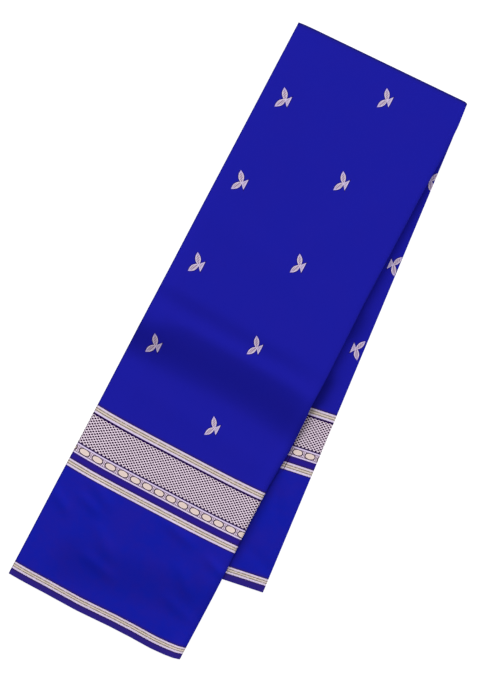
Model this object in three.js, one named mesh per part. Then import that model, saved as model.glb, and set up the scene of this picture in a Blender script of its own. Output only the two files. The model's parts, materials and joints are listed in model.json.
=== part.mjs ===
// A saree, folded and lying flat. One woven length is folded to a quarter of its width, and that
// strip is folded crosswise, so that its two free ends lie one on the other with the rest between.
// Millimetres, +Z up, +Y towards the crosswise fold, +X towards the side of the lengthwise folds.
//
// Plan places are given as t, across from the left edge, and s, down from the crosswise fold.

import * as THREE from 'three';

// ---- Driving dimensions ----

const PLY = 1.0; // wall of one ply of cloth
const PLY_GAP = 0.4; // air between the plies of a stretch
const PIECE_GAP = 0.3; // air between two pieces
const PANELS = 8; // hidden panels between the two stretches that show
const PANEL_RISE = 1.8; // height of one hidden panel, four plies pressed together

const FOLD_REACH = 7; // how far the outer lengthwise fold rounds, across
const INNER_FOLD_REACH = 5.2; // the same for the fold that nests in it
const MIDDLE_FOLD_REACH = 3; // the same for the fold of the cloth's middle, on the left
const SELVEDGE_STEP = 1.5; // the inner selvedge lies this far behind the outer one

const CREASE_STEPS = 6; // facets round the crosswise fold
const FOLD_STEPS = 6; // facets round a lengthwise fold

// Front stretch, on top. Each row crosses it from its left edge to its right one.
const FRONT_ROWS = [
  { leftT: -0.2, leftS: 3.1, rightT: 281.2, rightS: -6.9 }, // axis of the crosswise fold
  { leftT: -0.3, leftS: 34, rightT: 284.6, rightS: 26 },
  { leftT: -0.4, leftS: 78, rightT: 287.6, rightS: 70 },
  { leftT: -0.4, leftS: 180, rightT: 288.0, rightS: 174 },
  { leftT: -0.5, leftS: 280, rightT: 288.2, rightS: 284 },
  { leftT: -0.6, leftS: 385, rightT: 288.2, rightS: 400 },
  { leftT: -0.7, leftS: 450, rightT: 288.0, rightS: 473 }, // end of the hidden panels
  { leftT: -0.7, leftS: 467, rightT: 288.0, rightS: 491 },
  { leftT: -0.7, leftS: 492, rightT: 287.8, rightS: 516 },
  { leftT: -0.7, leftS: 518, rightT: 287.8, rightS: 543 },
  { leftT: -0.8, leftS: 546, rightT: 287.8, rightS: 571 }, // down on the back stretch
  { leftT: -0.8, leftS: 640, rightT: 287.8, rightS: 632 },
  { leftT: -0.9, leftS: 730, rightT: 287.9, rightS: 705 },
  { leftT: -0.9, leftS: 800, rightT: 288.0, rightS: 765 },
  { leftT: -0.9, leftS: 843, rightT: 288.1, rightS: 796 }, // just past the back stretch's end
  { leftT: -1.0, leftS: 858, rightT: 288.2, rightS: 813 },
  { leftT: -1.0, leftS: 873, rightT: 288.2, rightS: 830 }, // down on the ground
  { leftT: -1.0, leftS: 905, rightT: 288.2, rightS: 882 },
  { leftT: -1.0, leftS: 934.6, rightT: 288.2, rightS: 934.0 }, // free end
];
const FRONT_END_BOW = 2.4; // how far the free end bows out between its corners
const SLOPE_ROWS = { from: 7, to: 10 }; // rows between which the front comes off the hidden panels

// Back stretch, under everything and turned a few degrees, so that it shows past the right edge.
const BACK_TURN = 0.0889; // how far it moves to the right for each millimetre down
const BACK_LEFT = { t: 1.5, turnsAtS: 92 }; // its left edge runs straight down first
const BACK_RIGHT = { t: 282 }; // its right edge, carried on to s = 0
const BACK_ROWS = [
  { leftS: 3.0, rightS: -7.0 }, // axis of the crosswise fold
  { leftS: 92, rightS: 73 },
  { leftS: 240, rightS: 218 },
  { leftS: 400, rightS: 374 },
  { leftS: 560, rightS: 529 },
  { leftS: 710, rightS: 672 },
  { leftS: 829.8, rightS: 782.4 }, // free end
].map((row) => ({ ...row, leftT: backLeftEdge(row.leftS), rightT: BACK_RIGHT.t + BACK_TURN * row.rightS }));

const DRAPE = 30; // the cloth above comes down off the back stretch's edges over this width
const DRAPE_START = 3; // and starts to, this far past the edge
const DRAPE_COLUMNS = [10.5, 12.5, 14.5]; // least distances of the drape's columns from the left edge
const UPPER_COLUMNS = 5; // facets across, from the back stretch's left edge to the right fold
const BACK_COLUMNS = 4; // facets across a ply of the flat back stretch

const PANEL_SIDE_INSET = { left: 3, right: 4 }; // hidden panels lie this far inside the front
const PANEL_GROOVE = 1.2; // depth of the grooves between panels along the sides
const PANEL_NOSE_GROOVE = 3; // depth of the grooves between the panels' folds at their lower end
const PANEL_CREASE_REACH = 4.4; // how far the middle panels' crosswise fold reaches past the others
const PANEL_CORNER = 4; // rounding of the panels' corners
const FRONT_CLEARANCE = 0.7; // air between the hidden panels and the front

const INDIGO = new THREE.Color(0x1c1b9e);

// ---- Sizes that follow ----

const STRETCH_RISE = 4 * PLY + 3 * PLY_GAP; // a stretch is four plies
const BACK_TOP = STRETCH_RISE + PIECE_GAP; // what lies on the back stretch starts here
const PANELS_RISE = PANELS * PANEL_RISE;
const PANELS_TOP = PANELS_RISE + FRONT_CLEARANCE; // from what the panels lie on to the front
const CREASE_RADIUS = PIECE_GAP / 2; // innermost radius of a crosswise fold
const PANEL_ROWS = FRONT_ROWS.slice(0, SLOPE_ROWS.from);

const lerp = THREE.MathUtils.lerp;
const smoothstep = THREE.MathUtils.smoothstep;

// ---- Heights of what lies below ----

/** Left edge of the back stretch at a distance s. */
function backLeftEdge(s) {
  return BACK_LEFT.t + Math.max(0, s - BACK_LEFT.turnsAtS) * BACK_TURN;
}

/** Distance s of the back stretch's free end at a place t. */
function backEnd(t) {
  const end = BACK_ROWS[BACK_ROWS.length - 1];
  return lerp(end.leftS, end.rightS, (t - end.leftT) / (end.rightT - end.leftT));
}

/** Height of the ground or of the back stretch, eased where the cloth above comes down off it. */
function groundHeight(t, s) {
  const across = 1 - smoothstep(backLeftEdge(s) - t, DRAPE_START, DRAPE + DRAPE_START);
  const along = 1 - smoothstep(s - backEnd(t), DRAPE_START, DRAPE + DRAPE_START);
  return BACK_TOP * across * along;
}

/** Share of the hidden panels' height that the front lies on, in its own row. */
function panelShare(row) {
  return 1 - smoothstep(row, SLOPE_ROWS.from, SLOPE_ROWS.to);
}

// ---- Columns across a stretch ----

/** Places across the front at a row, as shares of its width. The first few follow the drape. */
function frontColumns(row) {
  const width = row.rightT - row.leftT;
  const last = 1 - FOLD_REACH / width;
  const top = backLeftEdge(row.leftS) - DRAPE_START;
  const drape = [top - DRAPE, top - DRAPE / 2, top].map((t, i) => Math.max(t, DRAPE_COLUMNS[i]));
  const first = [0, ...drape.map((t) => t / width)];
  const start = first[first.length - 1];
  const rest = Array.from({ length: UPPER_COLUMNS }, (_, i) => lerp(start, last, (i + 1) / UPPER_COLUMNS));
  return [...first, ...rest];
}

/** Places across the back at a row, as shares of its width, evenly spaced. */
function backColumns(row) {
  const last = 1 - FOLD_REACH / (row.rightT - row.leftT);
  return Array.from({ length: BACK_COLUMNS + 1 }, (_, i) => (last * i) / BACK_COLUMNS);
}

/** Height of the ground along a row of the front, straight from each column to the next. */
function rowHeight(row, t) {
  const width = row.rightT - row.leftT;
  const places = frontColumns(row).map((share) => row.leftT + share * width);
  const heights = places.map((place) => groundHeight(place, lerp(row.leftS, row.rightS, place / width)));
  const after = places.findIndex((place) => place > t);
  if (after <= 0) return after < 0 ? heights[heights.length - 1] : heights[0];
  const part = (t - places[after - 1]) / (places[after] - places[after - 1]);
  return lerp(heights[after - 1], heights[after], part);
}

// ---- The cloth's path through a stretch, seen from its free end ----

/**
 * One side of the cloth, from the outer selvedge to the inner one: over the top ply, round the
 * outer fold, back along the bottom ply, round the middle fold, and in again on the two plies between.
 * depth is 0 for the face and PLY for the reverse. Each point has t, the share across of the column
 * that it belongs to, an offset past it, and h, its height in the stretch.
 */
function clothSide(columns, depth) {
  const rise = PLY + PLY_GAP;
  const middle = STRETCH_RISE / 2;
  const lowFold = (rise + PLY) / 2;
  const quarter = Math.PI / 2;
  const last = columns[columns.length - 1];
  const leftward = [...columns].reverse();
  const points = [];
  const ply = (h, shares, inset = 0) => {
    shares.forEach((share) => points.push({ share, offset: share === 0 ? inset : 0, h }));
  };
  const fold = (centre, reach, radius, turn) => {
    for (let i = 1; i < FOLD_STEPS; i += 1) {
      const angle = turn * lerp(-quarter, quarter, i / FOLD_STEPS);
      const offset = centre.offset + reach * Math.cos(angle);
      points.push({ share: centre.share, offset, h: centre.h + radius * Math.sin(angle) });
    }
  };
  ply(STRETCH_RISE - depth, columns);
  fold({ share: last, offset: 0, h: middle }, FOLD_REACH - depth, middle - depth, -1);
  ply(depth, leftward, MIDDLE_FOLD_REACH);
  fold({ share: 0, offset: MIDDLE_FOLD_REACH, h: lowFold }, depth - MIDDLE_FOLD_REACH, lowFold - depth, 1);
  ply(rise + PLY - depth, columns, MIDDLE_FOLD_REACH);
  fold({ share: last, offset: 0, h: middle }, INNER_FOLD_REACH - PLY + depth, PLY_GAP / 2 + depth, 1);
  ply(2 * rise + depth, leftward, SELVEDGE_STEP);
  return points;
}

// ---- Meshes ----

/** Closed body between two grids of points that run the same way: rows of columns. */
function wallGeometry(outer, inner) {
  const rows = outer.length;
  const columns = outer[0].length;
  const positions = [...outer.flat(), ...inner.flat()].flatMap((p) => [p.x, p.y, p.z]);
  const at = (side, row, column) => (side * rows + row) * columns + column;
  const index = [];
  const quad = (a, b, c, d) => index.push(a, b, c, a, c, d);
  for (let row = 0; row + 1 < rows; row += 1) {
    for (let column = 0; column + 1 < columns; column += 1) {
      const cell = [[row, column], [row + 1, column], [row + 1, column + 1], [row, column + 1]];
      quad(...cell.map(([r, c]) => at(0, r, c)));
      quad(...cell.reverse().map(([r, c]) => at(1, r, c)));
    }
    const end = columns - 1;
    quad(at(0, row, 0), at(1, row, 0), at(1, row + 1, 0), at(0, row + 1, 0));
    quad(at(0, row + 1, end), at(1, row + 1, end), at(1, row, end), at(0, row, end));
  }
  for (let column = 0; column + 1 < columns; column += 1) {
    const foot = rows - 1;
    quad(at(0, 0, column + 1), at(1, 0, column + 1), at(1, 0, column), at(0, 0, column));
    quad(at(0, foot, column), at(1, foot, column), at(1, foot, column + 1), at(0, foot, column + 1));
  }
  const geometry = new THREE.BufferGeometry();
  geometry.setAttribute('position', new THREE.Float32BufferAttribute(positions, 3));
  geometry.setIndex(index);
  geometry.computeVertexNormals();
  return geometry;
}

/** Point of a row at a share across and an offset past it, with an optional bow of the row. */
function planPoint(row, share, offset, bow = 0) {
  const width = row.rightT - row.leftT;
  const across = share + offset / width;
  const arch = bow * 4 * across * (1 - across);
  return { t: row.leftT + across * width, s: lerp(row.leftS, row.rightS, across) + arch };
}

/**
 * One side of a stretch as a grid: first round the crosswise fold, then down its length.
 * turn is +1 where the fold goes down from the stretch, and -1 where it goes up from it.
 */
function stretchSide({ rows, columnsOf, heightAt, bow, turn }, depth) {
  const grid = [];
  const crease = rows[0];
  const along = new THREE.Vector2(crease.rightT - crease.leftT, crease.rightS - crease.leftS).normalize();
  const out = { t: along.y, s: -along.x };
  const side = clothSide(columnsOf(crease), depth);
  for (let step = 0; step < CREASE_STEPS; step += 1) {
    const angle = lerp(-Math.PI / 2, Math.PI / 2, step / CREASE_STEPS);
    grid.push(side.map((point) => {
      const foot = planPoint(crease, point.share, point.offset);
      const radius = CREASE_RADIUS + point.h;
      const base = heightAt(crease, foot.t, 0);
      const axis = turn > 0 ? base - CREASE_RADIUS : base + STRETCH_RISE + CREASE_RADIUS;
      const reach = radius * Math.cos(angle);
      const lift = turn * radius * Math.sin(angle);
      return new THREE.Vector3(foot.t + out.t * reach, -(foot.s + out.s * reach), axis + lift);
    }));
  }
  rows.forEach((row, number) => {
    const rowBow = number === rows.length - 1 ? bow : 0;
    grid.push(clothSide(columnsOf(row), depth).map((point) => {
      const place = planPoint(row, point.share, point.offset, rowBow);
      const h = turn > 0 ? point.h : STRETCH_RISE - point.h;
      return new THREE.Vector3(place.t, -place.s, heightAt(row, place.t, number) + h);
    }));
  });
  return grid;
}

/** A stretch of four plies, in one wall of cloth. */
function stretchGeometry(stretch) {
  const face = stretchSide(stretch, 0);
  const reverse = stretchSide(stretch, PLY);
  return stretch.turn > 0 ? wallGeometry(face, reverse) : wallGeometry(reverse, face);
}

/** The hidden panels as one solid, with a groove between each two along its sides. */
function panelsGeometry() {
  const columns = 1 + DRAPE_COLUMNS.length + UPPER_COLUMNS;
  const rows = PANEL_ROWS.length;
  const pointAt = (step, row, column) => {
    const level = step / 2;
    const plan = PANEL_ROWS[row];
    const width = plan.rightT - plan.leftT;
    const onSide = column === 0 || column === columns - 1;
    const onEnd = row === 0 || row === rows - 1;
    const between = Math.cos(Math.PI * level) ** 2;
    const corner = onSide && onEnd ? PANEL_CORNER : 0;
    const inset = PANEL_GROOVE * between + corner;
    let t = plan.leftT + frontColumns(plan)[column] * width;
    if (column === 0) t = plan.leftT + PANEL_SIDE_INSET.left + inset;
    if (column === columns - 1) t = plan.rightT - PANEL_SIDE_INSET.right - inset;
    let s = lerp(plan.leftS, plan.rightS, (t - plan.leftT) / width);
    if (row === 0) s += PIECE_GAP + corner - creaseReach(level);
    if (row === rows - 1) s -= PANEL_NOSE_GROOVE * Math.cos((Math.PI * level) / 2) ** 2 + corner;
    return new THREE.Vector3(t, -s, rowHeight(plan, t) + level * PANEL_RISE);
  };
  return stackGeometry(PANELS * 2 + 1, rows, columns, pointAt);
}

/** Reach of the middle panels' crosswise fold at a level, counted in panels. */
function creaseReach(level) {
  const fromMiddle = Math.abs(level - PANELS / 2);
  return fromMiddle < 1 ? PANEL_CREASE_REACH * Math.sqrt(1 - fromMiddle ** 2) : 0;
}

/** Closed body of levels: whole grids at the foot and the top, and their outlines between. */
function stackGeometry(levels, rows, columns, pointAt) {
  const positions = [];
  const index = [];
  const keys = new Map();
  const vertex = (level, row, column) => {
    const key = `${level},${row},${column}`;
    if (!keys.has(key)) {
      keys.set(key, positions.length / 3);
      positions.push(...pointAt(level, row, column).toArray());
    }
    return keys.get(key);
  };
  const quad = (a, b, c, d) => index.push(a, b, c, a, c, d);
  for (let row = 0; row + 1 < rows; row += 1) {
    for (let column = 0; column + 1 < columns; column += 1) {
      const cell = [[row, column], [row + 1, column], [row + 1, column + 1], [row, column + 1]];
      quad(...cell.map(([r, c]) => vertex(levels - 1, r, c)));
      quad(...cell.reverse().map(([r, c]) => vertex(0, r, c)));
    }
  }
  const outline = [];
  for (let column = 0; column + 1 < columns; column += 1) outline.push([0, column]);
  for (let row = 0; row + 1 < rows; row += 1) outline.push([row, columns - 1]);
  for (let column = columns - 1; column > 0; column -= 1) outline.push([rows - 1, column]);
  for (let row = rows - 1; row > 0; row -= 1) outline.push([row, 0]);
  for (let level = 0; level + 1 < levels; level += 1) {
    outline.forEach((here, i) => {
      const next = outline[(i + 1) % outline.length];
      const upper = [vertex(level + 1, ...here), vertex(level + 1, ...next)];
      const lower = [vertex(level, ...next), vertex(level, ...here)];
      quad(...upper, ...lower);
    });
  }
  const geometry = new THREE.BufferGeometry();
  geometry.setAttribute('position', new THREE.Float32BufferAttribute(positions, 3));
  geometry.setIndex(index);
  geometry.computeVertexNormals();
  return geometry;
}

/** One piece of cloth as a named mesh. */
function clothMesh(name, geometry) {
  const material = new THREE.MeshStandardMaterial({ color: INDIGO, roughness: 0.55, metalness: 0 });
  const mesh = new THREE.Mesh(geometry, material);
  mesh.name = name;
  return mesh;
}

// ---- Assembly ----

const frontStretch = {
  rows: FRONT_ROWS,
  columnsOf: frontColumns,
  heightAt: (row, t, number) => rowHeight(row, t) + PANELS_TOP * panelShare(number),
  bow: FRONT_END_BOW,
  turn: 1,
};
const backStretch = { rows: BACK_ROWS, columnsOf: backColumns, heightAt: () => 0, bow: 0, turn: -1 };

const saree = new THREE.Group();
saree.add(clothMesh('front_stretch', stretchGeometry(frontStretch)));
saree.add(clothMesh('folded_layers', panelsGeometry()));
saree.add(clothMesh('back_stretch', stretchGeometry(backStretch)));

// The origin is the middle of the underside.
const extent = new THREE.Box3().setFromObject(saree);
const middle = extent.getCenter(new THREE.Vector3());
saree.position.set(-middle.x, -middle.y, -extent.min.z);

export default saree;
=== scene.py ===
"""A saree folded to a quarter of its width and then crosswise, lying flat on a pale floor.

Plan places are in millimetres: t runs across from the front stretch's left edge, and s runs down
from the crosswise fold. Heights are in millimetres above the floor. Meshes are in metres.
"""

import json
import logging
import math
from collections.abc import Callable
from dataclasses import dataclass
from enum import Enum

import bpy
import numpy as np
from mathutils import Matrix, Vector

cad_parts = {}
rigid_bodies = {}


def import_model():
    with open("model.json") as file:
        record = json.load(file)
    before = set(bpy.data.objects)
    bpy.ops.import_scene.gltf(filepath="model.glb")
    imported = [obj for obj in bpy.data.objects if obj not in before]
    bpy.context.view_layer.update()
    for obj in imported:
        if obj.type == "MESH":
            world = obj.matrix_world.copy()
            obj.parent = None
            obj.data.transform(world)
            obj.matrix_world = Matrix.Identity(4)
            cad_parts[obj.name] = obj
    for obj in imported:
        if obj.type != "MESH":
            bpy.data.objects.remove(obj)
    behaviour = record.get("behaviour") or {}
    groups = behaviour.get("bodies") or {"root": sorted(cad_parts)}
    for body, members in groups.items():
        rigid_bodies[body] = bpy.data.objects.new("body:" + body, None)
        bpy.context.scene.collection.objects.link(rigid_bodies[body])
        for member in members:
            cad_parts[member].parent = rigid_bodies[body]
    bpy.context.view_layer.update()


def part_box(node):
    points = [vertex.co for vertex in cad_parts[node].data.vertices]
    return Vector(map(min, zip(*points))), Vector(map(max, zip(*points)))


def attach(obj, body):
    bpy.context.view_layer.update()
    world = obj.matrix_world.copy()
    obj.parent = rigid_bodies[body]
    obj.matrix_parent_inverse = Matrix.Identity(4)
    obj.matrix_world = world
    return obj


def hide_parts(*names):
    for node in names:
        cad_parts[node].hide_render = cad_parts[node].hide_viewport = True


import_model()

Array = np.ndarray
Material = bpy.types.Material
Node = bpy.types.Node
Piece = bpy.types.Object
Socket = bpy.types.NodeSocket

MM = 0.001
LOG = logging.getLogger("saree")


class Weave(Enum):
    """How much of the saree's pattern a finish carries."""

    BANDS_AND_LEAVES = "bands_and_leaves"
    PLAIN = "plain"


# ---------------- Numbers and colours ----------------


def smoothstep(value: Array, low: float, high: float) -> Array:
    """Ease from 0 at low to 1 at high."""
    share = np.clip((value - low) / (high - low), 0.0, 1.0)
    return share * share * (3.0 - 2.0 * share)


def eased(count: int, ease: float) -> Array:
    """Shares from 0 to 1 in order, closer together near both ends the nearer ease is to 1."""
    even = np.linspace(0.0, 1.0, count)
    return even - ease * np.sin(2.0 * math.pi * even) / (2.0 * math.pi)


def read_table(places: Array, table: tuple, column: int = 1) -> Array:
    """Values of one column of a table at places between those of its first column."""
    rows = np.array(table)
    return np.interp(places, rows[:, 0], rows[:, column])


def linear(share: float) -> float:
    """Linear light of a display value from 0 to 1."""
    return share / 12.92 if share <= 0.04045 else ((share + 0.055) / 1.055) ** 2.4


def colour(red: int, green: int, blue: int) -> tuple[float, float, float, float]:
    """Colour and alpha for a shader, from display values of 0 to 255."""
    return linear(red / 255.0), linear(green / 255.0), linear(blue / 255.0), 1.0


# ---------------- Materials ----------------


def math_method(operation: str, flipped: bool = False) -> "Callable[..., Wire]":
    """Make a method that adds one Math node.

    Args:
        operation: The node's operation.
        flipped: Whether the wire is the second value, where a number stands before it.

    Returns:
        The method.
    """

    def method(wire: "Wire", *others: "Wire | float") -> "Wire":
        """Add the node."""
        return wire.bench.math(operation, *((*others, wire) if flipped else (wire, *others)))

    return method


class Wire:
    """A number that flows through a material. Arithmetic on it adds Math nodes."""

    def __init__(self, bench: "ShaderBench", socket: Socket) -> None:
        """Keep the socket and the bench that it belongs to."""
        self.bench = bench
        self.socket = socket

    __add__ = math_method("ADD")
    __radd__ = math_method("ADD", flipped=True)
    __sub__ = math_method("SUBTRACT")
    __rsub__ = math_method("SUBTRACT", flipped=True)
    __mul__ = math_method("MULTIPLY")
    __rmul__ = math_method("MULTIPLY", flipped=True)
    __truediv__ = math_method("DIVIDE")
    __pow__ = math_method("POWER")
    __abs__ = math_method("ABSOLUTE")
    fract = math_method("FRACT")
    floor = math_method("FLOOR")
    sine = math_method("SINE")
    greater = math_method("MAXIMUM")
    lesser = math_method("MINIMUM")


def total(wires: list[Wire]) -> Wire:
    """Sum of wires."""
    return sum(wires[1:], wires[0])


class ShaderBench:
    """Adds the nodes of one material."""

    def __init__(self, name: str) -> None:
        """Start a material of that name with a Principled shader."""
        self.material = bpy.data.materials.new(name)
        self.material.use_nodes = True
        self.tree = self.material.node_tree
        self.shader = self.tree.nodes["Principled BSDF"]

    def node(self, kind: str, settings: dict, inputs: dict) -> Node:
        """Add one node.

        Args:
            kind: The node's type.
            settings: Attributes to set first; a ramp's stops go under "stops".
            inputs: Values or links by socket name or number.

        Returns:
            The new node.
        """
        node = self.tree.nodes.new(kind)
        for key, value in settings.items():
            if key == "stops":
                self._set_stops(node, value)
            else:
                setattr(node, key, value)
        for key, value in inputs.items():
            self.feed(node.inputs[key], value)
        return node

    @staticmethod
    def _set_stops(node: Node, stops: list) -> None:
        """Give a colour ramp its stops.

        Args:
            node: The ramp.
            stops: Places and colours in order.
        """
        elements = node.color_ramp.elements
        while len(elements) < len(stops):
            elements.new(1.0)
        for element, (place, shade) in zip(elements, stops):
            element.position = place
            element.color = shade

    def feed(self, socket: Socket, value: object) -> None:
        """Set a socket to a value, or link it.

        Args:
            socket: The input socket.
            value: A plain value, a socket or a wire.
        """
        if isinstance(value, Wire):
            self.tree.links.new(value.socket, socket)
        elif isinstance(value, Socket):
            self.tree.links.new(value, socket)
        else:
            socket.default_value = value

    def dress(self, values: dict) -> None:
        """Feed the Principled shader's sockets by name."""
        for key, value in values.items():
            self.feed(self.shader.inputs[key], value)

    def math(self, operation: str, *values: "Wire | float") -> Wire:
        """Add a Math node and return its result."""
        node = self.node("ShaderNodeMath", {"operation": operation}, dict(enumerate(values)))
        return Wire(self, node.outputs[0])

    def step(self, value: Wire, low: float, high: float) -> Wire:
        """Ramp that is 0 up to low and 1 from high, or the other way where low is larger."""
        inputs = {"Value": value, "From Min": low, "From Max": high}
        return Wire(self, self.node("ShaderNodeMapRange", {"clamp": True}, inputs).outputs["Result"])

    def between(self, value: Wire, low: float, high: float, soft: float) -> Wire:
        """Mask that is 1 from low to high, with edges that are soft by that much each way."""
        rising = self.step(value, low - soft, low + soft)
        return rising * self.step(value, high + soft, high - soft)

    def mix(self, share: "Wire | float", below: object, above: object) -> Socket:
        """Lay one colour over another, where share is how much of the upper one shows."""
        node = self.node("ShaderNodeMix", {"data_type": "RGBA"}, {0: share, 6: below, 7: above})
        return node.outputs[2]

    def scale(self, value: object, factor: "Wire | float") -> Socket:
        """Scale a colour or a place by a number."""
        inputs = {0: value, "Scale": factor}
        return self.node("ShaderNodeVectorMath", {"operation": "SCALE"}, inputs).outputs[0]

    def noise(self, place: object, scale: float, detail: float = 2.0) -> Wire:
        """Smooth random number from 0 to 1 at each place, with that many waves in a unit of length."""
        inputs = {"Vector": place, "Scale": scale, "Detail": detail}
        return Wire(self, self.node("ShaderNodeTexNoise", {}, inputs).outputs[0])


@dataclass(frozen=True)
class SilkColours:
    """Colours of the yarns, as dyed."""

    indigo: tuple = colour(29, 28, 159)
    indigo_shade: tuple = colour(15, 28, 165)
    violet: tuple = colour(42, 28, 142)
    dusk: tuple = colour(50, 36, 129)
    violet_line: tuple = colour(36, 4, 76)
    midnight: tuple = colour(32, 0, 48)
    umber: tuple = colour(50, 26, 58)
    plum: tuple = colour(40, 0, 46)
    silver: tuple = colour(240, 222, 248)
    pearl: tuple = colour(228, 212, 252)
    ice: tuple = colour(190, 172, 250)
    thread: tuple = colour(255, 236, 252)
    blush: tuple = colour(234, 217, 251)
    cream: tuple = colour(234, 212, 201)
    straw: tuple = colour(246, 224, 215)
    gold: tuple = colour(214, 199, 187)
    glow: tuple = colour(230, 213, 199)
    olive: tuple = colour(84, 64, 62)
    mauve: tuple = colour(136, 92, 134)
    taupe: tuple = colour(158, 140, 162)
    haze: tuple = colour(202, 174, 200)


@dataclass(frozen=True)
class BandPlan:
    """Places of the woven bands, in millimetres from the cloth's free end."""

    end_strip: float = 10.1
    end_stripe: tuple = (10.1, 20.4)
    low_stripe: tuple = (185.2, 196.4)
    plain_gap: tuple = (196.4, 207.35)
    chain: tuple = (207.35, 222.4)
    net: tuple = (222.4, 274.5)
    top_stripe: tuple = (274.8, 286.1)
    field_start: tuple = (299.0, 301.0)


@dataclass(frozen=True)
class Loom:
    """What a pattern is drawn with: a bench, the yarns, the bands' places and the place on the cloth.

    across counts millimetres across the cloth and along from its free end, and cloth holds both.
    """

    bench: ShaderBench
    colours: SilkColours
    plan: BandPlan
    cloth: Socket
    across: Wire
    along: Wire

    def band(self, places: tuple, soft: float) -> Wire:
        """Mask of a band between two places along the cloth."""
        return self.bench.between(self.along, *places, soft)


@dataclass(frozen=True)
class NetPattern:
    """The net band: a diamond lattice of pale threads with a dark dot in each mesh."""

    pitch_across: float = 6.07
    pitch_along: float = 4.64
    dark_border: tuple = (2.2, 2.8)
    anchor: float = 223.2
    dot: tuple = (0.72, 0.66)
    pale: tuple = (0.68, 0.76)
    soft: float = 0.3

    def shade(self, loom: Loom) -> Socket:
        """Colour of the net at each place.

        Args:
            loom: What to draw with.

        Returns:
            A colour socket.
        """
        bench, colours, along = loom.bench, loom.colours, loom.along
        low, high = loom.plan.net[0] + self.dark_border[0], loom.plan.net[1] - self.dark_border[1]
        p = loom.across / self.pitch_across
        q = (along - self.anchor) / self.pitch_along
        left = abs((p + q).fract() - 0.5) * 2.0
        right = abs((p - q).fract() - 0.5) * 2.0
        mesh = left.greater(right)
        ground = bench.mix(bench.step(mesh, *self.pale), colours.mauve, colours.thread)
        dotted = bench.mix(bench.step(mesh, *self.dot), ground, colours.plum)
        upper = bench.step(along, high - self.soft, high + self.soft)
        lower = bench.step(along, low + self.soft, low - self.soft)
        return bench.mix(upper.greater(lower), dotted, colours.violet_line)


@dataclass(frozen=True)
class ChainPattern:
    """The chain band: ovals in outline between two pale lines, with twin bars between them."""

    first: float = 14.7
    pitch: float = 20.12
    centre: float = 215.0
    half_width: float = 7.3
    half_height: float = 4.15
    squareness: float = 2.2
    inside: tuple = (1.02, 0.86)
    heart: tuple = (0.42, 0.20)
    heart_share: float = 0.4
    rim: tuple = (1.60, 1.42)
    bar_from_gap: float = 1.3
    bar_half: float = 0.5
    beside_bar: float = 1.2
    beside: tuple = (0.6, 0.2)
    seam: tuple = (0.5, 0.2)
    seam_share: float = 0.7
    top_line: tuple = (220.2, 222.4)
    foot_line: tuple = (207.35, 209.5)
    dark_above_foot: float = 0.8
    dark_below_top: float = 0.6
    soft: float = 0.3

    def shade(self, loom: Loom) -> Socket:
        """Colour of the chain at each place.

        Args:
            loom: What to draw with.

        Returns:
            A colour socket.
        """
        bench, colours, soft = loom.bench, loom.colours, self.soft
        x = abs(((loom.across - self.first) / self.pitch + 0.5).fract() - 0.5) * self.pitch
        y = abs(loom.along - self.centre)
        oval = (x / self.half_width) ** self.squareness + (y / self.half_height) ** self.squareness
        from_gap = self.pitch / 2 - x
        from_bar = from_gap - self.bar_from_gap
        bar = bench.step(abs(from_bar), self.bar_half + soft, self.bar_half - soft)
        beside = bench.step(abs(from_bar - self.beside_bar), *self.beside)
        seam = beside.greater(bench.step(from_gap, *self.seam))
        lines = bench.step(oval, *self.rim).greater(seam * self.seam_share)
        ringed = bench.mix(lines, bench.mix(bar, colours.haze, colours.thread), colours.midnight)
        heart = bench.step(oval, *self.heart) * self.heart_share
        fill = bench.mix(heart, colours.straw, colours.cream)
        filled = bench.mix(bench.step(oval, *self.inside), ringed, fill)
        edge = loom.band((self.foot_line[1], self.foot_line[1] + self.dark_above_foot), soft)
        roof = loom.band((self.top_line[0] - self.dark_below_top, self.top_line[0]), soft)
        lined = bench.mix(edge.greater(roof), filled, colours.midnight)
        pale = loom.band(self.top_line, soft).greater(loom.band(self.foot_line, soft))
        return bench.mix(pale, lined, colours.blush)


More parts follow.
